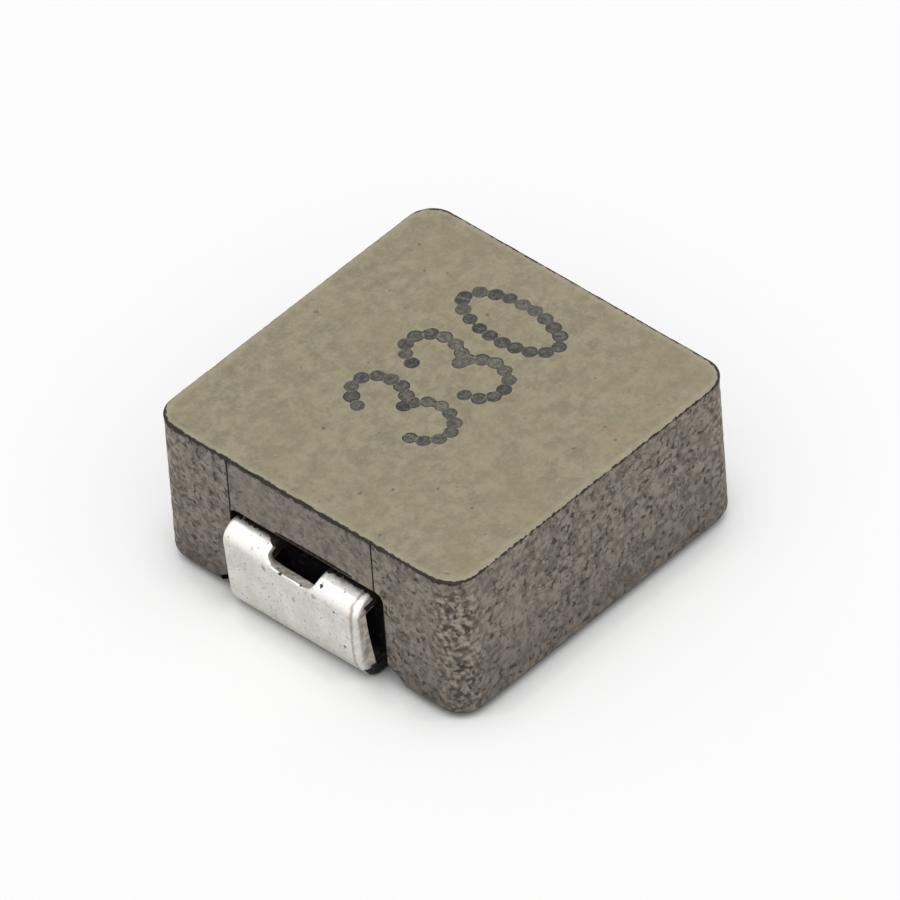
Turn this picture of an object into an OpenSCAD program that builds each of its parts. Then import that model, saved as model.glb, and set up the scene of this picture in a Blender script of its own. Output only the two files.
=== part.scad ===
// Moulded power inductor for surface mounting: a square block of pressed metal powder with a
// two-layer copper winding inside it and a formed, tinned sheet terminal on each end.
// Millimetres. +Z is up, the board is the plane z = 0 and the terminals face -X and +X.
// The origin is the middle of the footprint, on the board.

/* [Body] */
// Side of the square body
body_w = 6.6; // [6.4:0.1:6.8]
// Height of the top face above the board
body_top = 3.0; // [2.9:0.05:3.3]
// Gap between the body's underside and the board
stand_off = 0.05; // [0.02:0.01:0.1]
// Radius of the four upright corners
corner_r = 0.5; // [0.35:0.05:0.7]
// Radius of the edge round the underside
under_r = 0.2; // [0.1:0.05:0.3]

/* [Terminals] */
// Width of each terminal
terminal_w = 3.0; // [2.6:0.1:3.2]
// Thickness of the tinned copper sheet
sheet_t = 0.25; // [0.2:0.01:0.28]
// How far each terminal stands out past the body's side
terminal_out = 0.4; // [0.35:0.01:0.5]
// Length of each foot from the terminal's widest point inwards
pad_len = 1.6; // [1.4:0.1:1.8]
// Height of the tab's upper face where it leaves the powder
tab_top = 1.77; // [1.7:0.01:1.85]
// Overlap of each tab with the powder and with the wire end on it
tab_len = 0.75; // [0.7:0.01:0.76]
// Fall of the short strip between the body and the upper bend
strip_fall = 10; // [4:1:16]
// Outward lean of the plate from its foot to its upper bend
plate_lean = 9; // [4:1:11]
// Inner radius of the upper bend
upper_bend_r = 0.05; // [0.03:0.01:0.1]
// Inner radius of the bend above the foot
lower_bend_r = 0.25; // [0.15:0.01:0.3]
// Inner radius of the slight bend where the tab leaves the powder
entry_bend_r = 0.1; // [0.05:0.01:0.2]
// Depth inside the body's side at which that bend starts
entry_depth = 0.08; // [0.02:0.01:0.15]
// Width of the notch over the upper bend
notch_w = 1.05; // [0.8:0.05:1.3]
// Height of the notch's lower edge on the plate
notch_low = 1.52; // [1.4:0.01:1.6]
// Radius of the notch's lower corners
notch_r = 0.25; // [0.1:0.05:0.35]

/* [Terminal recesses in the body] */
// Depth of the recess behind each plate
recess_d = 0.25; // [0.2:0.01:0.28]
// Height of the parting plane, where each recess ends
parting_z = 1.93; // [1.9:0.01:2.0]
// Space beside the plate in its recess
side_gap = 0.16; // [0.1:0.01:0.2]
// Radius of the recess's upper corners
recess_r = 0.15; // [0.05:0.01:0.2]
// Depth of the smooth panel pressed above each terminal
panel_d = 0.02; // [0.01:0.01:0.04]
// Width of that panel beyond the terminal, on each side
panel_over = 0.06; // [0.02:0.01:0.1]
// Space over the foot in its pocket
foot_gap = 0.04; // [0.02:0.01:0.06]
// Space past the foot's inner end
foot_end_gap = 0.1; // [0.05:0.01:0.15]
// Height of the relief over the lower bend
relief_z = 0.47; // [0.44:0.01:0.48]
// Depth of that relief from the body's side
relief_d = 0.45; // [0.3:0.01:0.5]
// Widening of the relief at the underside, on each side
relief_flare = 0.34; // [0.2:0.01:0.4]
// Height at which the widened part of the relief ends
flare_z = 0.25; // [0.2:0.01:0.3]

/* [Winding] */
// Copper diameter of the round wire
wire_d = 0.3; // [0.26:0.01:0.3]
// Enamel on the wire: the space it leaves round the copper
enamel_t = 0.02; // [0.01:0.005:0.02]
// Inside diameter of the winding
coil_bore_d = 3.0; // [2.8:0.1:3.0]
// Turns of the inner layer above and below the middle
stack_turns = 2; // [1:1:2]
// Fall of each lead off the round, seen from above
lead_turn = 20; // [18:1:21]
// Length of wire end on its tab
weld_len = 0.56; // [0.4:0.01:0.56]
// Space between the wire end and the tab
weld_gap = 0.01; // [0.005:0.005:0.01]

/* [Hidden] */

// Facets asked of each full circle
$fn = 64;
// Overlap of a cutter past the surface it cuts
past = 1;
// Steps round each bend of the sheet
bend_steps = 10;

half_w = body_w / 2;
half_span = half_w + terminal_out;
// Floor of each recess, as a distance from the middle
recess_x = half_w - recess_d;
// Inner end of each tab
tab_in = recess_x - tab_len;
// Start of the entry bend
entry_x = half_w - entry_depth;
// Outer radii of the three bends
entry_r = entry_bend_r + sheet_t;
upper_r = upper_bend_r + sheet_t;
lower_r = lower_bend_r + sheet_t;
// Length of the falling strip and height of the upper bend's centre
strip_len = (half_span - upper_r + (upper_r - entry_r) * sin(strip_fall) - entry_x) / cos(strip_fall);
upper_z = tab_top - entry_r * (1 - cos(strip_fall)) - strip_len * sin(strip_fall)
    - upper_r * cos(strip_fall);
upper_x = half_span - upper_r;
// Length of the plate and place of the lower bend's centre
plate_len = (upper_z - lower_r + (lower_r - upper_r) * sin(plate_lean)) / cos(plate_lean);
lower_x = upper_x + (upper_r - lower_r) * cos(plate_lean) - plate_len * sin(plate_lean);
// Inner end of each foot
foot_in = half_span - pad_len;
// Bends of the sheet from the tab to the foot: centre, outer radius, first and last angle
bends = [
    [[entry_x, tab_top - entry_r], entry_r, 90, 90 - strip_fall],
    [[upper_x, upper_z], upper_r, 90 - strip_fall, -plate_lean],
    [[lower_x, lower_r], lower_r, -plate_lean, -90],
];

// Points of one bend, at a depth below the outer face
function bend_points(b, depth) = [
    for (i = [0:bend_steps])
        let (a = b[2] + (b[3] - b[2]) * i / bend_steps)
        b[0] + (b[1] - depth) * [cos(a), sin(a)]
];

// Points of one face of the sheet, from the tab's end to the foot's end
function sheet_face(depth) = [
    [tab_in, tab_top - depth],
    for (b = bends) each bend_points(b, depth),
    [foot_in, depth],
];

function reversed(v) = [for (i = [len(v) - 1:-1:0]) v[i]];

// Winding: middle height, pitch, layer radii and envelope
coil_z = tab_top - sheet_t / 2;
wire_r = wire_d / 2;
pitch = wire_d + 2 * enamel_t;
coil_in_r = coil_bore_d / 2;
layer_1 = coil_in_r + enamel_t + wire_r;
layer_2 = layer_1 + pitch;
coil_out_r = layer_2 + wire_r + enamel_t;
coil_half_h = stack_turns * pitch + wire_r + enamel_t;
// Points per turn and round the wire
turn_steps = 28;
wire_sides = 10;
// Angles along one half of the wire: from the middle of the winding to the start of the lead
start_a = 90;
step_a = start_a + 360 * stack_turns;
step_sweep = 60;
outer_sweep = 360 * (stack_turns - 1) + 180 + lead_turn;
end_a = step_a + outer_sweep;
// The lead: start, heading, length over ground and height at the tab, from the winding's middle
lead_x0 = layer_2 * cos(end_a);
lead_y0 = layer_2 * sin(end_a);
lead_len = (tab_in + weld_len - lead_x0) / cos(lead_turn);
lead_z0 = outer_height(end_a);
lead_z1 = -(sheet_t / 2 + weld_gap + wire_r);
// Part of the lead over which its height changes
bend_from = 0.25;
bend_to = 0.68;
lead_steps = 14;

function outer_height(a) = -stack_turns * pitch + pitch * (a - step_a) / 360;
function smooth(t) = t <= 0 ? 0 : t >= 1 ? 1 : t * t * (3 - 2 * t);

// One point of the round part of the wire, at angle a
function coil_point(a) =
    let (inner = a <= step_a)
    let (r = inner ? layer_1 : layer_1 + pitch * smooth((a - step_a) / step_sweep))
    let (h = inner ? -pitch * (a - start_a) / 360 : outer_height(a))
    [r * cos(a), r * sin(a), h];

// One point of the lead, at share t of its length
function lead_point(t) =
    let (k = smooth((t - bend_from) / (bend_to - bend_from)))
    [
        lead_x0 + lead_len * t * cos(lead_turn),
        lead_y0 + lead_len * t * sin(lead_turn),
        lead_z0 + (lead_z1 - lead_z0) * k,
    ];

coil_steps = ceil((end_a - start_a) * turn_steps / 360);
half_path = concat(
    [for (i = [0:coil_steps]) coil_point(start_a + (end_a - start_a) * i / coil_steps)],
    [for (i = [1:lead_steps]) lead_point(i / lead_steps)]
);
last_point = len(half_path) - 1;
// The other half is this one turned half round about the Y axis
wire_path = concat(
    [for (i = [last_point:-1:1]) [-half_path[i].x, half_path[i].y, -half_path[i].z]],
    half_path
);

function unit(v) = v / norm(v);
function heading(path, i) = unit(path[min(i + 1, len(path) - 1)] - path[max(i - 1, 0)]);

// Ring of points round the path at point i
function wire_ring(path, i, r) =
    let (t = heading(path, i))
    let (side = unit(cross(t, [0, 0, 1])))
    let (up = cross(side, t))
    [for (j = [0:wire_sides - 1]) path[i]
        + r * (side * cos(360 * j / wire_sides) + up * sin(360 * j / wire_sides))];

// Round wire along a path, with flat ends
module wire(path, r) {
    rings = len(path);
    points = [for (i = [0:rings - 1]) each wire_ring(path, i, r)];
    sides = [for (i = [0:rings - 2]) for (j = [0:wire_sides - 1])
        let (k = (j + 1) % wire_sides)
        [
            i * wire_sides + j,
            i * wire_sides + k,
            (i + 1) * wire_sides + k,
            (i + 1) * wire_sides + j,
        ]];
    first = [for (j = [wire_sides - 1:-1:0]) j];
    last = [for (j = [0:wire_sides - 1]) (rings - 1) * wire_sides + j];
    polyhedron(points, concat([first], sides, [last]), convexity = 12);
}

// Right half of a section of the block: upright side, rounded at its foot
module block_half_section(w) {
    h = body_top - stand_off;
    square([w - under_r, h]);
    translate([0, under_r])
        square([w, h - under_r]);
    intersection() {
        translate([w - under_r, under_r])
            circle(under_r);
        square([w, under_r]);
    }
}

// Solid block with rounded upright corners and a rounded lower edge
module block() {
    flat_len = body_w - 2 * corner_r;
    translate([0, 0, stand_off]) {
        for (a = [0, 90])
            rotate([90, 0, a])
                linear_extrude(flat_len, center = true) {
                    block_half_section(half_w);
                    mirror([1, 0])
                        block_half_section(half_w);
                }
        for (sx = [-1, 1])
            for (sy = [-1, 1])
                translate([sx * flat_len / 2, sy * flat_len / 2])
                    rotate_extrude()
                        block_half_section(corner_r);
    }
}

// Draws its children on +X, or turned half round on -X
module on_side(side) {
    rotate([0, 0, side > 0 ? 0 : 180])
        children();
}

// Box from x0 to x1 and z0 to z1, centred across
module slab(x0, x1, w, z0, z1) {
    translate([x0, -w / 2, z0])
        cube([x1 - x0, w, z1 - z0]);
}

// Recess behind the plate, open at the side and the underside
module side_recess() {
    w = terminal_w + 2 * side_gap;
    slab(recess_x, half_w + past, w, -past, parting_z - recess_r);
    slab(recess_x, half_w + past, w - 2 * recess_r, -past, parting_z);
    for (s = [-1, 1])
        translate([recess_x, s * (w / 2 - recess_r), parting_z - recess_r])
            rotate([0, 90, 0])
                cylinder(r = recess_r, h = recess_d + past);
}

// Pocket in the underside for the foot, with the relief over the lower bend
module foot_pocket() {
    w = terminal_w + 2 * side_gap;
    slab(foot_in - foot_end_gap, half_w + past, w, -past, sheet_t + foot_gap);
    translate([half_w - relief_d, 0, 0])
        rotate([90, 0, 90])
            linear_extrude(relief_d + past)
                polygon([
                    [-w / 2 - relief_flare, -past],
                    [w / 2 + relief_flare, -past],
                    [w / 2 + relief_flare, flare_z],
                    [w / 2, relief_z],
                    [-w / 2, relief_z],
                    [-w / 2 - relief_flare, flare_z],
                ]);
}

// Shallow pressed panel from the parting plane to the top face
module witness_panel() {
    slab(half_w - panel_d, half_w + past, terminal_w + 2 * panel_over, parting_z - recess_r,
        body_top + past);
}

// Slot the tab fills
module tab_slot() {
    slab(tab_in, recess_x + past, terminal_w, tab_top - sheet_t, tab_top);
}

// Space of the winding and of its two leads
module coil_space() {
    reach = wire_r + enamel_t;
    translate([0, 0, coil_z]) {
        difference() {
            cylinder(r = coil_out_r, h = 2 * coil_half_h, center = true);
            cylinder(r = coil_in_r, h = 2 * coil_half_h + past, center = true);
        }
        for (a = [0, 180])
            rotate([0, a, 0])
                translate([lead_x0, lead_y0, 0])
                    rotate([0, 0, lead_turn])
                        translate([0, -reach, lead_z1 - reach])
                            cube([lead_len + enamel_t, 2 * reach, lead_z0 - lead_z1 + 2 * reach]);
    }
}

// Section of the bent sheet, with X away from the middle and Y up
module sheet_section() {
    polygon(concat(sheet_face(0), reversed(sheet_face(sheet_t))));
}

// Notch through the strip and the upper bend, with rounded lower corners on the plate
module notch() {
    slab(recess_x, upper_x, notch_w, upper_z - upper_r, tab_top + past);
    translate([upper_x, 0, 0])
        rotate([90, 0, 90])
            linear_extrude(upper_r + past) {
                translate([-notch_w / 2, notch_low + notch_r])
                    square([notch_w, tab_top + past - notch_low]);
                translate([-notch_w / 2 + notch_r, notch_low])
                    square([notch_w - 2 * notch_r, past]);
                for (s = [-1, 1])
                    translate([s * (notch_w / 2 - notch_r), notch_low + notch_r])
                        circle(notch_r);
            }
}

// Terminal of the +X end: tab, strip, upper bend, plate, lower bend and foot
module terminal() {
    difference() {
        translate([0, terminal_w / 2, 0])
            rotate([90, 0, 0])
                linear_extrude(terminal_w)
                    sheet_section();
        notch();
    }
}

module powder_core() {
    color([0.56, 0.54, 0.46])
        difference() {
            block();
            for (side = [-1, 1])
                on_side(side) {
                    side_recess();
                    foot_pocket();
                    witness_panel();
                    tab_slot();
                }
            coil_space();
        }
}

module winding() {
    color([0.72, 0.38, 0.2])
        translate([0, 0, coil_z])
            wire(wire_path, wire_r);
}

module terminal_left() {
    color([0.8, 0.8, 0.78])
        on_side(-1)
            terminal();
}

module terminal_right() {
    color([0.8, 0.8, 0.78])
        on_side(1)
            terminal();
}

powder_core();
winding();
terminal_left();
terminal_right();
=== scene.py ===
"""Looks of a moulded power inductor for surface mounting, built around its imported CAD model.

The meshes are worked out in millimetres and handed to Blender in metres. +Z is up, the board is the
plane z = 0, and the terminals face -X and +X.
"""

import math

import bmesh
import bpy
import numpy as np
from mathutils import Matrix, Vector, noise

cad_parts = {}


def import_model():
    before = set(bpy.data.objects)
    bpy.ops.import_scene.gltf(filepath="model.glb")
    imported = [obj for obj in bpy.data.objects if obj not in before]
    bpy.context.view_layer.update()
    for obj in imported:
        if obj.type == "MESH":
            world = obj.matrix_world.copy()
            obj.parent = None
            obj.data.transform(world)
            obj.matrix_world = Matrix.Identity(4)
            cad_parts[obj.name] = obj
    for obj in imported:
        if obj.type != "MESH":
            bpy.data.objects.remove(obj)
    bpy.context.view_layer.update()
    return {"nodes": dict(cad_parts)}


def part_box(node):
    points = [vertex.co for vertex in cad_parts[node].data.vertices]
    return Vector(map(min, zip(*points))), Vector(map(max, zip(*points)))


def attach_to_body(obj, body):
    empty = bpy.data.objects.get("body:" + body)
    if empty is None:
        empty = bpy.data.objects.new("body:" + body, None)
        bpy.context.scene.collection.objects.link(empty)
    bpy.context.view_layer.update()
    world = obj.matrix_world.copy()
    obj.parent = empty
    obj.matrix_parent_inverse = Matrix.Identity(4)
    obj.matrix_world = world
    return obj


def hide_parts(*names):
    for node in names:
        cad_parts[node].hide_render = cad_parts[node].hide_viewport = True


MM = 0.001
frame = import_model()

# --- Sizes in millimetres, from the frame where it holds them ---
core_low, core_high = (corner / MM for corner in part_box("powder_core"))
tab_low, tab_high = (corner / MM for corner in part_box("terminal_right"))
winding_low, winding_high = (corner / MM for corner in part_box("winding"))
HALF_W = core_high.x
BODY_TOP = core_high.z
BODY_LOW = core_low.z
HALF_SPAN = tab_high.x
TAB_TOP = tab_high.z
HALF_TERMINAL = tab_high.y
FOOT_IN = HALF_SPAN - 1.6

CORNER_R = 0.5
TOP_SKIN = 0.004
UNDER_R = 0.2
SHEET_T = 0.25
RECESS_D = 0.25
TAB_LEN = 0.75
# The lead frame, and the pressed panels over it, lie a little off the middle of the body
FRAME_SHIFT = 0.12
PANEL_SHIFT = 0.085
PANEL_HALF = 1.565


def metres(points):
    """Points in millimetres, as a list of points in metres."""
    return (np.asarray(points, float) * MM).tolist()


def mesh_object(name, points, faces):
    """A smooth-shaded mesh object from points in millimetres."""
    mesh = bpy.data.meshes.new(name)
    mesh.from_pydata(metres(points), [], faces)
    mesh.validate()
    mesh.shade_smooth()
    piece = bpy.data.objects.new(name, mesh)
    bpy.context.scene.collection.objects.link(piece)
    return piece


def add_values(piece, name, values):
    """Stores one number per vertex, for the materials to read."""
    attribute = piece.data.attributes.new(name, "FLOAT", "POINT")
    attribute.data.foreach_set("value", np.asarray(values, np.float32))


def rough(point, *scales, offset=0.0):
    """Smooth noise from about -1 to 1 at a point, with a frequency per millimetre along each axis."""
    return noise.noise(Vector([c * s + offset for c, s in zip(point, scales)]))


# --- The pressed powder block ---
EDGE_STEPS = (0.0, 0.012, 0.028, 0.05, 0.08, 0.115)
GRID_PITCH = 0.048
FILLET_ROWS = 5


def grid_lines(half):
    """Places of the grid's lines across a face, closer together near its edges."""
    inner = half - EDGE_STEPS[-1]
    count = round(2 * inner / GRID_PITCH)
    middle = [-inner + 2 * inner * i / count for i in range(count + 1)]
    return np.array([-half + s for s in EDGE_STEPS[:-1]] + middle
                    + [half - s for s in reversed(EDGE_STEPS[:-1])])


def spread(x, y, radius):
    """Moves the square grid's points so that its corner patches become quarter discs."""
    straight = HALF_W - CORNER_R
    u = np.clip((np.abs(x) - straight) / CORNER_R, 0, 1)
    v = np.clip((np.abs(y) - straight) / CORNER_R, 0, 1)
    out_x = np.minimum(np.abs(x), straight) + radius * u * np.sqrt(1 - v * v / 2)
    out_y = np.minimum(np.abs(y), straight) + radius * v * np.sqrt(1 - u * u / 2)
    return np.copysign(out_x, x), np.copysign(out_y, y)


def inset_of(x, y):
    """Distance from a point of a level section to the block's outline."""
    straight = HALF_W - CORNER_R
    qx = np.maximum(np.abs(x) - straight, 0)
    qy = np.maximum(np.abs(y) - straight, 0)
    return CORNER_R - np.hypot(qx, qy)


def outward(x, y):
    """Level direction from the block's outline outwards."""
    straight = HALF_W - CORNER_R
    qx = np.copysign(np.maximum(np.abs(x) - straight, 0), x)
    qy = np.copysign(np.maximum(np.abs(y) - straight, 0), y)
    length = np.maximum(np.hypot(qx, qy), 1e-9)
    return qx / length, qy / length


def block_grid():
    """Points, faces and outward directions of the plain block, before any wear."""
    lines = grid_lines(HALF_W)
    n = len(lines)
    gx, gy = (g.ravel() for g in np.meshgrid(lines, lines, indexing="ij"))

    def index(i, j):
        return i * n + j

    last = n - 1
    border = ([index(i, 0) for i in range(last)] + [index(last, j) for j in range(last)]
              + [index(i, last) for i in range(last, 0, -1)] + [index(0, j) for j in range(last, 0, -1)])
    count = len(border)
    bx, by = gx[border], gy[border]

    # Rows of the side from the top edge down, then round the lower edge
    low = BODY_LOW + UNDER_R
    side_rows = [BODY_TOP - s for s in EDGE_STEPS[1:]]
    steps = round((side_rows[-1] - low) / GRID_PITCH)
    side_rows += [side_rows[-1] + (low - side_rows[-1]) * (k + 1) / steps for k in range(steps)]
    rows = [(z, 0.0, 0.0) for z in side_rows]
    for k in range(1, FILLET_ROWS):
        a = math.radians(90 * k / FILLET_ROWS)
        rows.append((low - UNDER_R * math.sin(a), UNDER_R * (1 - math.cos(a)), a))

    points, normals = [], []
    tx, ty = spread(gx, gy, CORNER_R)
    points.append(np.c_[tx, ty, np.full(n * n, BODY_TOP)])
    normals.append(np.tile([0.0, 0.0, 1.0], (n * n, 1)))
    ox, oy = outward(*spread(bx, by, CORNER_R))
    for z, inset, a in rows:
        x, y = spread(bx, by, CORNER_R - inset)
        points.append(np.c_[x, y, np.full(count, z)])
        normals.append(np.c_[ox * math.cos(a), oy * math.cos(a), np.full(count, -math.sin(a))])
    ux, uy = spread(gx, gy, CORNER_R - UNDER_R)
    points.append(np.c_[ux, uy, np.full(n * n, BODY_LOW)])
    normals.append(np.tile([0.0, 0.0, -1.0], (n * n, 1)))

    faces = []
    under = n * n + count * len(rows)
    for i in range(last):
        for j in range(last):
            quad = (index(i, j), index(i + 1, j), index(i + 1, j + 1), index(i, j + 1))
            faces.append(quad)
            faces.append(tuple(under + k for k in reversed(quad)))
    rings = [border] + [[n * n + r * count + k for k in range(count)] for r in range(len(rows))]
    rings.append([under + k for k in border])
    for upper, lower in zip(rings, rings[1:]):
        for k in range(count):
            m = (k + 1) % count
            faces.append((upper[m], upper[k], lower[k], lower[m]))
    return np.vstack(points), faces, np.vstack(normals)


def smooth_step(low, high, value):
    t = np.clip((value - low) / (high - low), 0, 1)
    return t * t * (3 - 2 * t)


def side_relief(point, coarse):
    """Depth of the granular side at a point; coarse is 1 on the rough upright corners."""
    grain = 0.6 * rough(point, 8, 8, 5.5) + 0.4 * rough(point, 17, 17, 12, offset=7.3)
    depth = 0.006 + 0.0025 * rough(point, 16, 16, 16) + 0.007 * float(smooth_step(0.15, 0.5, grain))
    depth += coarse * (0.004 + 0.007 * rough(point, 7, 7, 6, offset=3.1))
    return max(depth, 0.002)


def edge_wear(point):
    """Width of the worn top edge at a point of the outline."""
    return 0.02 + 0.008 * rough(point, 3, 3, 0) + 0.006 * rough(point, 11, 11, 0, offset=5.0)


def panel_share(point):
    """1 on the smoother panels that the mould pressed above the terminals, and 0 elsewhere."""
    inside = smooth_step(PANEL_HALF + 0.01, PANEL_HALF - 0.01, abs(point[1] - PANEL_SHIFT))
    return float(inside * smooth_step(HALF_W - 0.06, HALF_W - 0.02, abs(point[0])))


def powder_block():
    points, faces, normals = block_grid()
    worn = points.copy()
    rims = np.zeros(len(points))
    reach = CORNER_R + 0.4
    past = np.maximum(np.abs(points[:, :2]) - (HALF_W - reach), 0) / reach
    coarse = smooth_step(0.1, 0.7, past[:, 0] * past[:, 1])
    panel = np.array([panel_share(p) for p in points])
    insets = inset_of(points[:, 0], points[:, 1])
    for k, (point, normal) in enumerate(zip(points, normals)):
        below = BODY_TOP - point[2]
        wear = max(edge_wear(point), 0.01)
        if normal[2] > 0.5:
            rims[k] = min(insets[k], 0.3)
            depth = TOP_SKIN + 0.002 * rough(point, 7, 7, 0) + wear * max(0.0, 1 - insets[k] / wear) ** 1.6
        else:
            rims[k] = -min(below, 0.3)
            depth = side_relief(point, coarse[k]) * (1 - 0.7 * panel[k])
            depth += wear * max(0.0, 1 - below / wear) ** 1.6
        worn[k] -= normal * depth
    piece = mesh_object("powder_block", worn, faces)
    for name, values in (("rim", rims), ("coarse", coarse), ("panel", panel)):
        add_values(piece, name, values)
    for name in ("ring", "burn"):
        add_values(piece, name, np.zeros(len(points)))
    return piece


# --- Cutters for the recesses, slots and marks ---
PAST = 1.0


def cutter(name, points, faces):
    piece = mesh_object(name, points, faces)
    piece.data.shade_flat()
    return piece


def prism(name, outline, x0, x1):
    """Solid from x0 to x1 with an outline in Y and Z, given counter-clockwise as seen from +X."""
    n = len(outline)
    points = [(x, y, z) for x in (x0, x1) for y, z in outline]
    sides = [(k, (k + 1) % n, n + (k + 1) % n, n + k) for k in range(n)]
    faces = [tuple(range(n - 1, -1, -1)), tuple(range(n, 2 * n))] + sides
    return cutter(name, points, faces)


def rectangle(y0, y1, z0, z1):
    return [(y0, z0), (y1, z0), (y1, z1), (y0, z1)]


def recess_outline():
    """Recess behind the plate, with rounded upper corners and the flared relief at the underside."""
    half, top, r = HALF_TERMINAL + 0.16, 1.93, 0.15
    flare = ((0.0, 0.47), (0.34, 0.25), (0.38, -PAST))
    right = [(half - r + r * math.cos(a), top - r + r * math.sin(a))
             for a in (math.radians(15 * k) for k in range(7))]
    left = [(-y, z) for y, z in reversed(right)]
    base = [(-half - out, z) for out, z in flare] + [(half + out, z) for out, z in reversed(flare)]
    return base + right + left


def side_cutters(side):
    """Everything that is cut from one end of the block: side is -1 or 1."""
    def across(near, far):
        return sorted((side * near, side * far))

    wide = HALF_TERMINAL + 0.16
    out = HALF_W + PAST
    pieces = [
        prism("cut_recess", recess_outline(), *across(HALF_W - RECESS_D, out)),
        prism("cut_foot", rectangle(-wide, wide, -PAST, SHEET_T + 0.04), *across(FOOT_IN - 0.1, out)),
        prism("cut_relief", rectangle(-wide, wide, -PAST, 0.47), *across(HALF_W - 0.45, out)),
        prism("cut_tab", rectangle(FRAME_SHIFT - HALF_TERMINAL - 0.004, FRAME_SHIFT + HALF_TERMINAL + 0.004,
                                   TAB_TOP - SHEET_T - 0.004, TAB_TOP + 0.004),
              *across(HALF_W - RECESS_D - TAB_LEN - 0.004, out)),
    ]
    for edge in (-1, 1):
        y = PANEL_SHIFT + edge * PANEL_HALF
        pieces.append(prism("cut_line", rectangle(y - 0.012, y + 0.012, 1.8, BODY_TOP + PAST),
                            *across(HALF_W - 0.03, out)))
    pieces.append(ellipsoid("cut_above_flash", (side * (HALF_W - 0.01), -0.18, 1.975), (0.07, 0.85, 0.035)))
    return pieces


def winding_cutter():
    """The space of the coil inside the powder, a little larger than the coil."""
    mesh = bmesh.new()
    mesh.from_mesh(frame["nodes"]["winding"].data)
    bmesh.ops.remove_doubles(mesh, verts=mesh.verts, dist=1e-4 * MM)
    mesh.normal_update()
    for vertex in mesh.verts:
        vertex.co += vertex.normal * 0.01 * MM
    data = bpy.data.meshes.new("cut_winding")
    mesh.to_mesh(data)
    mesh.free()
    piece = bpy.data.objects.new("cut_winding", data)
    bpy.context.scene.collection.objects.link(piece)
    return piece


def cut(piece, cutters):
    """Takes the cutters away from the piece, and deletes them."""
    group = bpy.data.collections.new("cutters")
    bpy.context.scene.collection.children.link(group)
    for c in cutters:
        group.objects.link(c)
    step = piece.modifiers.new("cut", "BOOLEAN")
    step.operation = "DIFFERENCE"
    step.operand_type = "COLLECTION"
    step.collection = group
    step.solver = "MANIFOLD"
    apply_modifiers(piece)
    for c in cutters:
        bpy.data.objects.remove(c)
    bpy.data.collections.remove(group)
    merge_points(piece)


def merge_points(piece):
    """Merges the points that the cutting left all but on top of each other."""
    mesh = bmesh.new()
    mesh.from_mesh(piece.data)
    bmesh.ops.remove_doubles(mesh, verts=mesh.verts, dist=1e-4 * MM)
    mesh.to_mesh(piece.data)
    mesh.free()


def apply_modifiers(piece):
    graph = bpy.context.evaluated_depsgraph_get()
    mesh = bpy.data.meshes.new_from_object(piece.evaluated_get(graph), preserve_all_data_layers=True,
                                           depsgraph=graph)
    piece.modifiers.clear()
    piece.data = mesh


def ellipsoid(name, centre, radii):
    """Cutter for a rounded hollow."""
    mesh = bmesh.new()
    bmesh.ops.create_uvsphere(mesh, u_segments=40, v_segments=20, radius=1.0)
    bmesh.ops.scale(mesh, vec=[r * MM for r in radii], verts=mesh.verts)
    bmesh.ops.translate(mesh, vec=[c * MM for c in centre], verts=mesh.verts)
    data = bpy.data.meshes.new(name)
    mesh.to_mesh(data)
    mesh.free()
    piece = bpy.data.objects.new(name, data)
    bpy.context.scene.collection.objects.link(piece)
    return piece


# --- Marking: a plain number in round dots burnt into the top ---
DOT_R = 0.135
DOT_DEPTH = 0.018
DOT_STEP = 0.25
DIGIT_PITCH = 1.29
MARK_X = -1.03
MARK_Y = -0.73


def arc(cx, cy, rx, ry, start, end):
    """Points close together along part of an ellipse, from one angle to another in degrees."""
    angles = [math.radians(start + (end - start) * k / 100) for k in range(101)]
    return [(cx + rx * math.cos(a), cy + ry * math.sin(a)) for a in angles]


DIGITS = {
    "3": (arc(0.38, 1.5, 0.4, 0.5, 170, -80), arc(0.38, 0.5, 0.44, 0.5, 62, -170)),
    "0": (arc(0.4, 1.0, 0.44, 1.0, 90, -258),),
}


def along_stroke(points):
    """The places of the dots along a stroke, at even steps."""
    lengths = np.cumsum([0.0] + [math.dist(a, b) for a, b in zip(points, points[1:])])
    count = max(1, round(lengths[-1] / DOT_STEP))
    at = [lengths[-1] * k / count for k in range(count + 1)]
    xs, ys = zip(*points)
    return list(zip(np.interp(at, lengths, xs), np.interp(at, lengths, ys)))


def dot(x, y, random):
    """Cutter for the shallow crater of one dot."""
    half_h = 0.12
    depth = DOT_DEPTH + random.uniform(-0.005, 0.005)
    radius = DOT_R + random.uniform(-0.008, 0.008)
    half_w = radius / math.sqrt(1 - (1 - depth / half_h) ** 2)
    piece = ellipsoid("dot", (x, y, BODY_TOP - TOP_SKIN - depth + half_h), (half_w, half_w, half_h))
    burn = min(1.0, max(0.0, 0.5 + 0.75 * rough((x, y, 0), 1.7, 1.7, 1) + random.uniform(-0.25, 0.25)))
    add_values(piece, "burn", np.full(len(piece.data.vertices), burn))
    add_values(piece, "ring", [math.hypot(v.co.x / MM - x, v.co.y / MM - y) / radius
                               for v in piece.data.vertices])
    return piece


def dots(number):
    random = np.random.default_rng(11)
    pieces = []
    for place, digit in enumerate(number):
        for stroke in DIGITS[digit]:
            for x, y in along_stroke(stroke):
                x += MARK_X + place * DIGIT_PITCH + random.uniform(-0.012, 0.012)
                y += MARK_Y + random.uniform(-0.012, 0.012)
                pieces.append(dot(x, y, random))
    return pieces


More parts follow.
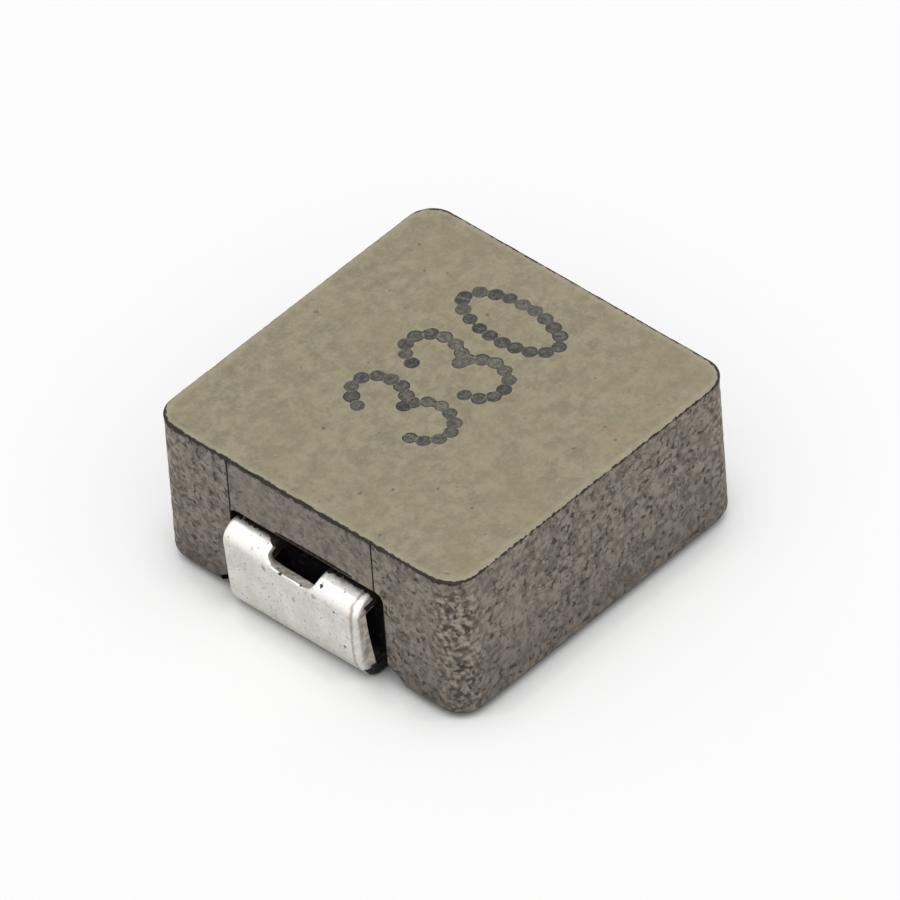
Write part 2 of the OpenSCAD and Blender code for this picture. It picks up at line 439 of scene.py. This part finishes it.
# --- Materials ---
class Nodes:
    """Short calls for a material's node tree."""

    def __init__(self, name):
        self.material = bpy.data.materials.new(name)
        self.material.use_nodes = True
        self.tree = self.material.node_tree
        self.shader = self.tree.nodes["Principled BSDF"]
        self.place = self.new("ShaderNodeTexCoord").outputs["Object"]

    def new(self, kind, **settings):
        node = self.tree.nodes.new(kind)
        for key, value in settings.items():
            setattr(node, key, value)
        return node

    def link(self, value, socket):
        if isinstance(value, bpy.types.NodeSocket):
            self.tree.links.new(value, socket)
        else:
            socket.default_value = value

    def math(self, operation, a, b=0.0, clamp=False):
        node = self.new("ShaderNodeMath", operation=operation, use_clamp=clamp)
        self.link(a, node.inputs[0])
        self.link(b, node.inputs[1])
        return node.outputs[0]

    def value(self, name):
        """A number stored on the vertices."""
        return self.new("ShaderNodeAttribute", attribute_name=name).outputs["Fac"]

    def at(self, stretch=(1, 1, 1), offset=0.0):
        """The place in millimetres; stretch packs a pattern closer along an axis."""
        node = self.new("ShaderNodeMapping")
        self.link(self.place, node.inputs["Vector"])
        node.inputs["Scale"].default_value = [s / MM for s in stretch]
        node.inputs["Location"].default_value = (offset, offset, offset)
        return node.outputs[0]

    def axes(self):
        """The place in millimetres along X, Y and Z."""
        node = self.new("ShaderNodeSeparateXYZ")
        self.link(self.at(), node.inputs[0])
        return node.outputs

    def noise(self, per_mm, detail=2.0, roughness=0.5, stretch=(1, 1, 1), offset=0.0, curl=0.0):
        """Noise with a frequency per millimetre; curl winds its shapes."""
        node = self.new("ShaderNodeTexNoise")
        self.link(self.at(stretch, offset), node.inputs["Vector"])
        node.inputs["Scale"].default_value = per_mm
        node.inputs["Detail"].default_value = detail
        node.inputs["Roughness"].default_value = roughness
        node.inputs["Distortion"].default_value = curl
        return node.outputs["Fac"]

    def blot(self, centre, radii, ragged=0.5):
        """1 inside a ragged spot at a place in millimetres, fading to 0 round it."""
        node = self.new("ShaderNodeMapping")
        self.link(self.at(), node.inputs["Vector"])
        node.inputs["Location"].default_value = [-c / r for c, r in zip(centre, radii)]
        node.inputs["Scale"].default_value = [1 / r for r in radii]
        length = self.new("ShaderNodeVectorMath", operation="LENGTH")
        self.link(node.outputs[0], length.inputs[0])
        edge = self.math("ADD", length.outputs["Value"], self.ramp(self.noise(12, 3), 0.3, 0.7, -ragged, ragged))
        return self.ramp(edge, 1.2, 0.6)

    def ramp(self, value, low, high, out_low=0.0, out_high=1.0):
        """value from low to high becomes out_low to out_high, smoothly and no further."""
        node = self.new("ShaderNodeMapRange", interpolation_type="SMOOTHSTEP")
        for socket, number in zip(node.inputs, (value, low, high, out_low, out_high)):
            self.link(number, socket)
        return node.outputs[0]

    def mix(self, share, a, b, blend="MIX"):
        """Colour a with a share of colour b."""
        node = self.new("ShaderNodeMix", data_type="RGBA", blend_type=blend)
        self.link(share, node.inputs[0])
        self.link(a, node.inputs[6])
        self.link(b, node.inputs[7])
        return node.outputs[2]

    def bump(self, height, distance_mm, strength=1.0, below=None):
        node = self.new("ShaderNodeBump")
        node.inputs["Distance"].default_value = distance_mm * MM
        node.inputs["Strength"].default_value = strength
        self.link(height, node.inputs["Height"])
        if below is not None:
            self.link(below, node.inputs["Normal"])
        return node.outputs[0]

    def finish(self, colour, roughness, normal=None, **constants):
        self.link(colour, self.shader.inputs["Base Color"])
        self.link(roughness, self.shader.inputs["Roughness"])
        if normal is not None:
            self.link(normal, self.shader.inputs["Normal"])
        for name, number in constants.items():
            self.shader.inputs[name.replace("_", " ")].default_value = number
        return self.material


def rgb(red, green, blue):
    """A colour given as the screen shows it, from 0 to 255."""
    def linear(c):
        c /= 255
        return c / 12.92 if c <= 0.04045 else ((c + 0.055) / 1.055) ** 2.4
    return (linear(red), linear(green), linear(blue), 1.0)


def top_colour(n, rim):
    """Olive top: fine mottling with tan and greenish patches, few pin spots, and a paler rim that is a worn lip
    with a painted highlight.
    """
    cloud = n.noise(1.1, detail=3, roughness=0.6, offset=2)
    mottle = n.noise(4.5, detail=5, roughness=0.68)
    fleck = n.noise(17, detail=3, roughness=0.6, offset=9)
    colour = n.mix(n.ramp(mottle, 0.34, 0.66), rgb(131, 125, 102), rgb(155, 147, 121))
    colour = n.mix(n.ramp(cloud, 0.42, 0.68, 0, 0.4), colour, rgb(152, 136, 110))
    colour = n.mix(n.ramp(fleck, 0.55, 0.75, 0, 0.45), colour, rgb(168, 158, 134))
    colour = n.mix(n.ramp(fleck, 0.43, 0.27, 0, 0.4), colour, rgb(112, 106, 86))
    spot = n.noise(5.5, detail=1, offset=15)
    colour = n.mix(n.ramp(spot, 0.735, 0.79, 0, 0.6), colour, rgb(84, 72, 56))
    # Painted highlight: the top is paler within about 0.16 mm of its edge, as on a lit worn lip
    colour = n.mix(n.ramp(rim, 0.16, 0.08, 0, 0.3), colour, rgb(176, 168, 144))
    return colour, n.math("ADD", mottle, fleck)


def grain_colour(n, per_mm, dark, light, offset):
    """Packed grains between a dark and a light colour, with dark pores and thin dark cracks."""
    grain = n.noise(per_mm, detail=1, roughness=0.4, offset=offset)
    colour = n.mix(n.ramp(grain, 0.3, 0.7), dark, light)
    crowd = n.ramp(n.noise(1.6, detail=2, offset=offset + 30), 0.35, 0.65, -0.04, 0.04)
    second = n.noise(per_mm, detail=1, roughness=0.45, offset=offset + 9)
    pore = n.ramp(n.math("ADD", second, crowd), 0.45, 0.3)
    winding = n.noise(per_mm * 0.45, detail=2, roughness=0.45, offset=offset + 17)
    thin = n.ramp(n.math("ABSOLUTE", n.math("SUBTRACT", winding, 0.5)), 0.03, 0.0, 0, 0.75)
    crack = n.math("MULTIPLY", thin, n.ramp(n.noise(2.3, detail=1, offset=offset + 40), 0.42, 0.6))
    dark_share = n.math("MAXIMUM", n.math("MULTIPLY", pore, 0.95), crack)
    return n.mix(dark_share, colour, rgb(46, 40, 37)), n.math("SUBTRACT", grain, dark_share)


def side_colour(n, x, z):
    """Brown-grey sides: small packed grains, coarser on the corners, with painted shade darker towards the foot."""
    panel = n.value("panel")
    coarse = n.math("MULTIPLY", n.value("coarse"), n.ramp(z, BODY_TOP - 0.05, BODY_TOP - 0.4))
    fine, fine_height = grain_colour(n, 8.5, rgb(96, 89, 80), rgb(137, 128, 116), 21)
    big, big_height = grain_colour(n, 9.5, rgb(70, 62, 54), rgb(158, 148, 134), 50)
    plain = n.mix(n.ramp(n.noise(5, detail=3, stretch=(1, 1, 0.5), offset=3), 0.35, 0.65),
                  rgb(104, 97, 89), rgb(128, 119, 110))
    colour = n.mix(coarse, fine, big)
    colour = n.mix(n.math("MULTIPLY", panel, 0.45), colour, plain)
    speck = n.noise(15, detail=1, offset=5)
    colour = n.mix(n.ramp(speck, 0.58, 0.78, 0, 0.5), colour, rgb(160, 149, 138))
    blush = n.noise(8, detail=2, offset=61)
    colour = n.mix(n.ramp(blush, 0.52, 0.7, 0, 0.35), colour, rgb(138, 118, 106))
    end = n.ramp(n.math("ABSOLUTE", x), 2.9, 3.25)
    # Painted shade: darker downwards from z 1.9 mm, a little more low down near the ends, and darkest on the lower
    # fillet
    shade = n.math("ADD", n.ramp(z, 1.9, 0.15, 0, 0.3), n.math("MULTIPLY", end, n.ramp(z, 0.7, 0.1, 0, 0.25)))
    shade = n.math("MAXIMUM", shade, n.ramp(z, 0.27, 0.12, 0, 0.7))
    # The underside keeps the plain colour, free of the painted shade at the side's foot
    shade = n.math("MULTIPLY", shade, n.ramp(z, BODY_LOW + 0.02, BODY_LOW + 0.06))
    colour = n.mix(shade, colour, rgb(36, 33, 32))
    height = n.math("ADD", n.math("MULTIPLY", fine_height, 0.6), n.math("MULTIPLY", coarse, big_height))
    return colour, height


def powder_material():
    n = Nodes("pressed_powder")
    rim = n.value("rim")
    x, _, z = n.axes()
    top, top_height = top_colour(n, rim)
    side, side_height = side_colour(n, x, z)
    ragged = n.noise(10, detail=4, roughness=0.6)

    # A dark ragged band runs along the broken edge, widest at the ends and on the corners
    end = n.ramp(n.math("ABSOLUTE", x), 2.85, 3.25)
    above = n.math("ADD", n.math("MULTIPLY", end, 0.025), n.math("MULTIPLY", n.value("coarse"), 0.02))
    above = n.math("ADD", above, n.ramp(ragged, 0.35, 0.65, 0.0, 0.025))
    under = n.math("ADD", n.math("MULTIPLY", end, 0.03), n.ramp(ragged, 0.3, 0.7, 0.01, 0.08))
    band = n.ramp(n.math("ADD", rim, under), -0.025, 0.025)
    side = n.mix(n.math("MULTIPLY", band, 0.95), side, rgb(26, 21, 18))
    on_top = n.ramp(n.math("SUBTRACT", rim, above), -0.006, 0.006)
    colour = n.mix(on_top, side, top)

    pick = n.new("ShaderNodeMix", data_type="VECTOR")
    n.link(on_top, pick.inputs[0])
    n.link(n.bump(side_height, 0.014, 0.8), pick.inputs[4])
    n.link(n.bump(top_height, 0.003, 0.5), pick.inputs[5])
    return n.finish(colour, n.ramp(on_top, 0, 1, 0.6, 0.55), pick.outputs[1], Specular_IOR_Level=0.35)


def recess_material():
    # The recess walls are coloured near black: painted shade in the recess behind the terminals
    n = Nodes("powder_in_recess_painted_shade")
    grain = n.noise(9, detail=3)
    colour = n.mix(n.ramp(grain, 0.52, 0.72), rgb(6, 5, 5), rgb(40, 34, 30))
    return n.finish(colour, 0.85, n.bump(grain, 0.02), Specular_IOR_Level=0.15)


def groove_material():
    """Powder in the fine lines that the mould left and in the hollow above the flash, coloured darker: a stain with
    painted shade in these hollows.
    """
    n = Nodes("powder_in_lines_painted_shade")
    grain = n.noise(14, detail=3, offset=2)
    colour = n.mix(n.ramp(grain, 0.35, 0.65), rgb(44, 38, 34), rgb(84, 76, 69))
    return n.finish(colour, 0.8, n.bump(grain, 0.01), Specular_IOR_Level=0.2)


def burn_material():
    """Burnt powder in the dots of the marking: dark speckles, and a darker rim that is painted shade on the
    crater's wall.
    """
    n = Nodes("burnt_powder")
    grain = n.noise(14, detail=4, roughness=0.65, offset=6)
    burn = n.value("burn")
    pale = n.mix(n.ramp(grain, 0.35, 0.65), rgb(84, 82, 78), rgb(124, 120, 106))
    dark = n.mix(n.ramp(grain, 0.4, 0.7), rgb(38, 37, 42), rgb(86, 85, 84))
    colour = n.mix(burn, pale, dark)
    # Painted shade: each dot darkens towards its rim, as on a crater's shaded wall
    rim = n.math("ADD", n.value("ring"), n.ramp(grain, 0.3, 0.7, -0.15, 0.15))
    colour = n.mix(n.ramp(rim, 0.72, 0.95, 0, 0.8), colour, rgb(34, 33, 40))
    return n.finish(colour, 0.6, n.bump(grain, 0.008), Specular_IOR_Level=0.3)


def copper_material():
    n = Nodes("enamelled_copper")
    tone = n.noise(3, detail=3)
    colour = n.mix(n.ramp(tone, 0.3, 0.7), rgb(176, 92, 44), rgb(202, 118, 62))
    return n.finish(colour, n.ramp(tone, 0.3, 0.7, 0.25, 0.4), n.bump(tone, 0.004), Metallic=0.9)


# Marks on the left terminal's plate: middle and reach in Y and Z, on the face that leans out to X
PLATE_X = -3.62
SMUDGE = ((0.66, 1.43), (0.045, 0.07))
PITS = (((0.30, 1.50), (0.03, 0.02)), ((-0.13, 1.51), (0.035, 0.016)), ((-0.90, 1.40), (0.02, 0.025)),
        ((-1.05, 0.70), (0.025, 0.03)), ((-0.54, 1.68), (0.035, 0.03)))
FAINT = (((-0.45, 1.48), (0.05, 0.06)), ((0.05, 1.08), (0.04, 0.04)), ((0.47, 1.58), (0.09, 0.05)))


def mark(n, place):
    (y, z), (reach_y, reach_z) = place
    return n.blot((PLATE_X, y, z), (0.35, reach_y, reach_z))


def tin_material():
    n = Nodes("tin_plate")
    tone = n.noise(2.2, detail=4, roughness=0.6)
    fine = n.noise(18, detail=3, offset=3)
    speck = n.noise(8, detail=3, roughness=0.6, offset=12)
    tin = n.mix(n.ramp(tone, 0.35, 0.7), rgb(206, 204, 198), rgb(222, 220, 215))
    tin = n.mix(n.ramp(fine, 0.5, 0.75, 0, 0.5), tin, rgb(184, 180, 171))
    tin = n.mix(n.ramp(n.noise(3, detail=3, offset=40), 0.55, 0.75, 0, 0.35), tin, rgb(206, 192, 170))
    # Painted highlight: where the upper strip faces upwards the tin turns near white, as where it mirrors the
    # overhead light
    tin = n.mix(n.value("upward_painted_highlight"), tin, rgb(246, 244, 240))
    dirt = n.ramp(speck, 0.66, 0.75, 0, 0.6)
    for place in PITS:
        dirt = n.math("MAXIMUM", dirt, mark(n, place))
    tin = n.mix(dirt, tin, rgb(66, 54, 44))
    shade = mark(n, SMUDGE)
    for place in FAINT:
        shade = n.math("MAXIMUM", shade, mark(n, place))
    tin = n.mix(n.math("MULTIPLY", shade, 0.55), tin, rgb(122, 116, 104))
    from_end = n.math("SUBTRACT", n.axes()[1], FRAME_SHIFT - HALF_TERMINAL)
    wander = n.math("ADD", from_end, n.ramp(n.noise(5, detail=3, offset=70), 0.3, 0.7, -0.025, 0.025))
    scratch = n.ramp(n.math("ABSOLUTE", n.math("SUBTRACT", wander, 0.13)), 0.05, 0.01, 0, 0.65)
    tin = n.mix(scratch, tin, rgb(144, 132, 112))
    cut_face = n.value("cut")
    grubby = n.mix(n.ramp(n.noise(5, detail=4, roughness=0.6, offset=80), 0.4, 0.6),
                   rgb(150, 145, 130), rgb(224, 214, 200))
    tin = n.mix(n.math("MULTIPLY", cut_face, 0.9), tin, grubby)
    # Near-black brown beyond the ragged tin edge: bare copper there with painted shade on it, and painted shade on
    # the cut faces by the wall
    torn = n.math("ADD", n.value("bare_copper_and_painted_shade"), n.ramp(n.noise(13, detail=3, offset=8), 0.3, 0.7, -0.5, 0.5))
    copper_with_painted_shade_share = n.ramp(torn, 0.45, 0.55)
    colour = n.mix(copper_with_painted_shade_share, tin, rgb(26, 18, 14))
    worn = n.math("MAXIMUM", n.math("MAXIMUM", copper_with_painted_shade_share, cut_face), dirt)
    n.link(n.ramp(worn, 0, 1, 1.0, 0.25), n.shader.inputs["Metallic"])
    roughness = n.math("ADD", n.ramp(fine, 0.3, 0.7, 0.34, 0.46), n.math("MULTIPLY", worn, 0.25))
    height = n.math("ADD", n.math("MULTIPLY", tone, 0.6), n.math("MULTIPLY", fine, 0.4))
    height = n.math("SUBTRACT", height, dirt)
    return n.finish(colour, roughness, n.bump(height, 0.006, 0.6))


# --- Terminals ---
UPPER_BEND_R = 0.05
LOWER_BEND_R = 0.12
ENTRY_BEND_R = 0.1
ENTRY_DEPTH = 0.08
STRIP_FALL = math.radians(10)
PLATE_LEAN = math.radians(9)
NOTCH_W = 1.05
NOTCH_LOW = 1.52
NOTCH_R = 0.25
SIDE_ROLL = 0.09
NOTCH_ROLL = 0.05
SHEET_PITCH = 0.04
ROLL_STEPS = (0.0, 0.008, 0.02, 0.036, 0.06, 0.09)


def sheet_path():
    """Outer face of the bent sheet of the +X end: a list of (length along it, point, outward direction)."""
    entry_r = ENTRY_BEND_R + SHEET_T
    upper_r = UPPER_BEND_R + SHEET_T
    lower_r = LOWER_BEND_R + SHEET_T
    entry_x = HALF_W - ENTRY_DEPTH
    upper_x = HALF_SPAN - upper_r
    strip = (upper_x + (upper_r - entry_r) * math.sin(STRIP_FALL) - entry_x) / math.cos(STRIP_FALL)
    upper_z = (TAB_TOP - entry_r * (1 - math.cos(STRIP_FALL)) - strip * math.sin(STRIP_FALL)
               - upper_r * math.cos(STRIP_FALL))
    plate = (upper_z - lower_r + (lower_r - upper_r) * math.sin(PLATE_LEAN)) / math.cos(PLATE_LEAN)
    lower_x = upper_x + (upper_r - lower_r) * math.cos(PLATE_LEAN) - plate * math.sin(PLATE_LEAN)
    half_pi = math.pi / 2
    bends = (
        (entry_x, TAB_TOP - entry_r, entry_r, half_pi, half_pi - STRIP_FALL),
        (upper_x, upper_z, upper_r, half_pi - STRIP_FALL, -PLATE_LEAN),
        (lower_x, lower_r, lower_r, -PLATE_LEAN, -half_pi),
    )
    rows = [((HALF_W - RECESS_D - TAB_LEN, TAB_TOP), (0.0, 1.0))]

    def straight_to(point, normal):
        start = Vector(rows[-1][0])
        count = max(1, round((Vector(point) - start).length / SHEET_PITCH))
        for k in range(1, count + 1):
            rows.append((tuple(start.lerp(Vector(point), k / count)), normal))

    for x, z, r, a0, a1 in bends:
        first = (math.cos(a0), math.sin(a0))
        straight_to((x + r * first[0], z + r * first[1]), first)
        count = max(2, round(abs(a1 - a0) * r / (0.6 * SHEET_PITCH)))
        for k in range(1, count + 1):
            a = a0 + (a1 - a0) * k / count
            rows.append(((x + r * math.cos(a), z + r * math.sin(a)), (math.cos(a), math.sin(a))))
    straight_to((FOOT_IN, 0.0), (0.0, -1.0))
    lengths = np.cumsum([0.0] + [math.dist(a[0], b[0]) for a, b in zip(rows, rows[1:])])
    return lengths, np.array([r[0] for r in rows]), np.array([r[1] for r in rows])


def edge_lines(low, high):
    """Places across a stretch of sheet, closer together near both its edges."""
    steps = list(ROLL_STEPS)
    inner_low, inner_high = low + steps[-1], high - steps[-1]
    count = max(1, round((inner_high - inner_low) / SHEET_PITCH))
    middle = [inner_low + (inner_high - inner_low) * k / count for k in range(count + 1)]
    return [low + s for s in steps[:-1]] + middle + [high - s for s in reversed(steps[:-1])]


def beyond_notch(s, y, start, end):
    """Distance from the notch's outline in the flat sheet, below 0 inside it."""
    over = np.abs(y) - (NOTCH_W / 2 - NOTCH_R)
    past = s - (end - NOTCH_R)
    square = np.maximum(np.abs(y) - NOTCH_W / 2, s - end)
    distance = np.where((over > 0) & (past > 0), np.hypot(over, past) - NOTCH_R, square)
    return np.where(s > start, distance, 1.0)


def flat_sheet(lengths, path):
    """The sheet before bending: its grid, which cells the notch removes, and the way to its edges."""
    plate = np.flatnonzero((path[:, 0] > HALF_W) & (path[:, 1] > 0.5))
    end = float(np.interp(-NOTCH_LOW, -path[plate, 1], lengths[plate]))
    start = float(np.interp(HALF_W - RECESS_D - 0.35, path[:plate[0] + 1, 0], lengths[:plate[0] + 1]))
    half = NOTCH_W / 2
    across = edge_lines(-HALF_TERMINAL, -half) + edge_lines(-half, half)[1:]
    across = np.array(across + edge_lines(half, HALF_TERMINAL)[1:])
    along = np.unique(np.concatenate([lengths, end + np.array(ROLL_STEPS[:4]), [start]]).round(4))
    s, y = (g.copy() for g in np.meshgrid(along, across, indexing="ij"))
    mid_s, mid_y = np.meshgrid((along[1:] + along[:-1]) / 2, (across[1:] + across[:-1]) / 2, indexing="ij")
    removed = beyond_notch(mid_s, mid_y, start, end) < 0

    kept = np.zeros(s.shape, bool)
    opened = np.zeros(s.shape, bool)
    rows, cols = s.shape
    for di in (0, 1):
        for dj in (0, 1):
            opened[di:rows - 1 + di, dj:cols - 1 + dj] |= removed
            kept[di:rows - 1 + di, dj:cols - 1 + dj] |= ~removed
    # Points next to the rounded corners of the notch move onto its outline
    corner_s, corner_y = end - NOTCH_R, half - NOTCH_R
    ds, dy = s - corner_s, np.abs(y) - corner_y
    edge = opened & kept & (ds > 0) & (dy > 0)
    pull = NOTCH_R / np.maximum(np.hypot(ds, dy), 1e-6)
    y = np.where(edge, np.copysign(corner_y + dy * pull, y), y)
    s = np.where(edge, corner_s + ds * pull, s)

    to_notch = beyond_notch(s, y, start, end)
    to_rim = np.minimum(HALF_TERMINAL - np.abs(y), np.minimum(s - along[0], along[-1] - s))
    # The punched notch isn't quite straight
    near = smooth_step(0.3, 0.0, to_notch) * (s > start)
    s += near * 0.022 * np.array([[rough((a, b, 0), 3.5, 3.5, 1, offset=2) for a, b in zip(*r)] for r in zip(s, y)])
    return s, y, removed, kept, to_notch, to_rim


def drawn_in(distance, radius):
    """How far the punch drew the face in, at a distance from the cut."""
    inward = radius - np.clip(distance, 0, radius)
    return radius - np.sqrt(radius ** 2 - inward ** 2)


def tin_edge(y):
    """Reach from the powder's face at which the tin begins, at a place across the sheet."""
    by_left = np.exp(-((y + 0.56) / 0.08) ** 2)
    by_right = np.exp(-((y - 0.56) / 0.08) ** 2)
    return -0.045 + 0.13 * by_left + 0.06 * by_right


def sheet_faces(removed, kept):
    """Faces of the outer and inner sides and of the cut edge, and the grid places along that edge."""
    index = -np.ones(kept.shape, int)
    index[kept] = np.arange(kept.sum())
    base = int(kept.sum())
    faces, rim = [], {}
    for i, j in zip(*np.nonzero(~removed)):
        places = ((i, j), (i + 1, j), (i + 1, j + 1), (i, j + 1))
        quad = [int(index[place]) for place in places]
        faces.append(tuple(quad))
        faces.append(tuple(base + k for k in reversed(quad)))
        for a, b in zip(places, places[1:] + places[:1]):
            if (b, a) in rim:
                del rim[(b, a)]
            else:
                rim[(a, b)] = True
    order = sorted({place for side in rim for place in side})
    first = {place: 2 * base + 2 * k for k, place in enumerate(order)}
    for a, b in rim:
        chain_a = (int(index[a]), first[a], first[a] + 1, base + int(index[a]))
        chain_b = (int(index[b]), first[b], first[b] + 1, base + int(index[b]))
        for k in range(3):
            faces.append((chain_b[k], chain_a[k], chain_a[k + 1], chain_b[k + 1]))
    return faces, tuple(np.array(order).T)


def bend_askew(points, side):
    """The plate isn't bent quite true: its +Y end falls short at the top, its -Y end leans less."""
    share = smooth_step(HALF_W, HALF_SPAN - 0.15, points[:, 0])
    z = points[:, 2]
    across = (points[:, 1] * side + HALF_TERMINAL) / (2 * HALF_TERMINAL)
    far = 0.02 + 0.09 * smooth_step(0.25, 1.6, z)
    near = 0.04 - 0.09 * smooth_step(1.45, 0.5, z) + 0.09 * smooth_step(0.45, 0.1, z)
    points[:, 0] -= share * (far * across + near * (1 - across) ** 2)


def terminal(name, side, askew):
    """One bent terminal of tinned sheet, with rolled and cut edges. side is -1 or 1."""
    lengths, path, normals = sheet_path()
    s, y, removed, kept, to_notch, to_rim = flat_sheet(lengths, path)
    x, z = (np.interp(s, lengths, path[:, k]) for k in (0, 1))
    nx, nz = (np.interp(s, lengths, normals[:, k]) for k in (0, 1))
    size = np.hypot(nx, nz)
    nx, nz = nx / size, nz / size

    dents = np.array([[0.0015 + 0.0015 * rough(p, 1.6, 1.6, 1.6) + 0.001 * rough(p, 7, 7, 7)
                       for p in zip(*row)] for row in zip(x, y, z)])
    roll = np.maximum(drawn_in(to_rim, SIDE_ROLL), drawn_in(to_notch, NOTCH_ROLL))
    upper = z > 1.3
    bare_copper_and_painted_shade = smooth_step(0.02, -0.02, x - HALF_W - tin_edge(y)) * upper
    # Share of painted highlight: 1 where the upper strip faces upwards
    upward_painted_highlight = smooth_step(0.1, 0.55, nz) * upper
    near_wall = smooth_step(0.3, 0.15, x - HALF_W)
    # Painted shade: the foot's cut edge near the wall takes the same near-black brown
    bare_copper_and_painted_shade = np.maximum(bare_copper_and_painted_shade, near_wall * (z < 0.3) * (to_rim < 0.05))

    def layer(depth, chosen):
        depth = np.broadcast_to(depth, s.shape)
        return np.c_[(x - nx * depth)[chosen], y[chosen], (z - nz * depth)[chosen]]

    faces, rim = sheet_faces(removed, kept)
    rims = np.stack([layer(0.125, rim), layer(0.235, rim)], axis=1).reshape(-1, 3)
    points = np.vstack([layer(roll + dents, kept), layer(SHEET_T, kept), rims])
    on_cut = 0.5 * (np.minimum(to_rim, to_notch) < 0.001)
    # Painted shade on the cut faces near the wall, at the strip and at the foot
    dark_rim = np.repeat(near_wall[rim] * ((z[rim] > 1.3) | (z[rim] < 0.3)), 2)
    if askew:
        bend_askew(points, side)
    points[:, 0] *= side
    points[:, 1] = points[:, 1] * side + FRAME_SHIFT
    piece = mesh_object(name, points, faces)
    piece.data.set_sharp_from_angle(angle=math.radians(50))
    zeros = np.zeros(len(rims))
    for label, values, on_rim in (("bare_copper_and_painted_shade", bare_copper_and_painted_shade, dark_rim), ("upward_painted_highlight", upward_painted_highlight, zeros), ("cut", on_cut, zeros + 1)):
        add_values(piece, label, np.concatenate([values[kept], values[kept], on_rim]))
    return piece


# --- Stage ---
def camera():
    """The camera of the product view: a long lens from far above the -X -Y corner."""
    azimuth, elevation, roll = (math.radians(a) for a in (225.518, 42.551, -4.425))
    target = Vector((0.3256, 0.2372, 1.4)) * MM
    distance = 343.654 * MM
    towards = Vector((math.cos(elevation) * math.cos(azimuth), math.cos(elevation) * math.sin(azimuth),
                      math.sin(elevation)))
    data = bpy.data.cameras.new("camera")
    data.sensor_width = 36
    data.lens = 857.22
    data.clip_start = 0.01
    data.clip_end = 10
    view = bpy.data.objects.new("camera", data)
    turn = towards.to_track_quat("Z", "Y").to_matrix() @ Matrix.Rotation(roll, 3, "Z")
    view.matrix_world = Matrix.Translation(target + towards * distance) @ turn.to_4x4()
    bpy.context.scene.collection.objects.link(view)
    bpy.context.scene.camera = view


def seen_directly(tree):
    """1 for what the camera sees, straight or in a reflection or through glass, and 0 for other light."""
    path = tree.nodes.new("ShaderNodeLightPath")
    value = path.outputs["Is Camera Ray"]
    for name in ("Is Glossy Ray", "Is Transmission Ray"):
        either = tree.nodes.new("ShaderNodeMath")
        either.operation = "MAXIMUM"
        tree.links.new(value, either.inputs[0])
        tree.links.new(path.outputs[name], either.inputs[1])
        value = either.outputs[0]
    return value


def floor():
    n = Nodes("floor")
    # Part of what is seen of the floor is plain white, which leaves its shadows pale away from the block
    glow = n.new("ShaderNodeEmission")
    open_sky = n.new("ShaderNodeAmbientOcclusion", samples=2)
    open_sky.inputs["Distance"].default_value = 0.8 * MM
    open_share = open_sky.outputs["AO"]
    # Painted contact shadow: the floor's own colour drops to near black where the block closes off the sky, under
    # it and close beside it
    colour = n.mix(n.ramp(open_share, 0.4, 0.52), (0.02, 0.02, 0.02, 1), (0.97, 0.97, 0.97, 1))
    n.finish(colour, 1.0, Specular_IOR_Level=0.0)
    share = n.math("MULTIPLY", seen_directly(n.tree), n.ramp(open_share, 0.42, 0.7, 0.0, 0.5))
    mixed = n.new("ShaderNodeMixShader")
    n.link(share, mixed.inputs[0])
    n.link(n.shader.outputs[0], mixed.inputs[1])
    n.link(glow.outputs[0], mixed.inputs[2])
    n.link(mixed.outputs[0], n.tree.nodes["Material Output"].inputs["Surface"])
    size = 120
    piece = mesh_object("floor", [(-size, -size, 0), (size, -size, 0), (size, size, 0), (-size, size, 0)],
                        [(0, 1, 2, 3)])
    piece.data.materials.append(n.material)


def lamps():
    data = bpy.data.lights.new("overhead", "SUN")
    data.energy = 1.9
    data.angle = math.radians(90)
    lamp = bpy.data.objects.new("overhead", data)
    lamp.matrix_world = Vector((-0.25, -0.25, 1.0)).to_track_quat("Z", "Y").to_matrix().to_4x4()
    bpy.context.scene.collection.objects.link(lamp)


def world():
    """White to the camera and in reflections, and a plain pale light on everything else."""
    sky = bpy.data.worlds.new("world")
    sky.use_nodes = True
    tree = sky.node_tree
    back = tree.nodes["Background"]
    back.inputs["Color"].default_value = (1, 1, 1, 1)
    strength = tree.nodes.new("ShaderNodeMapRange")
    tree.links.new(seen_directly(tree), strength.inputs["Value"])
    strength.inputs["To Min"].default_value = 0.42
    strength.inputs["To Max"].default_value = 1.0
    tree.links.new(strength.outputs[0], back.inputs["Strength"])
    bpy.context.scene.world = sky


def attach(piece, node):
    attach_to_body(piece, "root")
    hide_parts(node)


camera()
floor()
lamps()
world()
bpy.context.scene.view_settings.view_transform = "Standard"

block = powder_block()
block.data.materials.append(powder_material())
block.data.materials.append(recess_material())
block.data.materials.append(groove_material())
block.data.materials.append(burn_material())
hollows = side_cutters(-1) + side_cutters(1) + [winding_cutter()]
marks = dots("330")
for piece in hollows + marks:
    groove = piece.name.startswith(("cut_line", "cut_above_flash"))
    slot = 3 if piece in marks else 2 if groove else 1
    piece.data.materials.append(block.data.materials[slot])
cut(block, hollows + marks)
attach(block, "powder_core")

tin = tin_material()
left = terminal("terminal_sheet_left", -1, True)
right = terminal("terminal_sheet_right", 1, False)
for piece, node in ((left, "terminal_left"), (right, "terminal_right")):
    piece.data.materials.append(tin)
    attach(piece, node)

winding = frame["nodes"]["winding"]
winding.data.materials.clear()
winding.data.materials.append(copper_material())
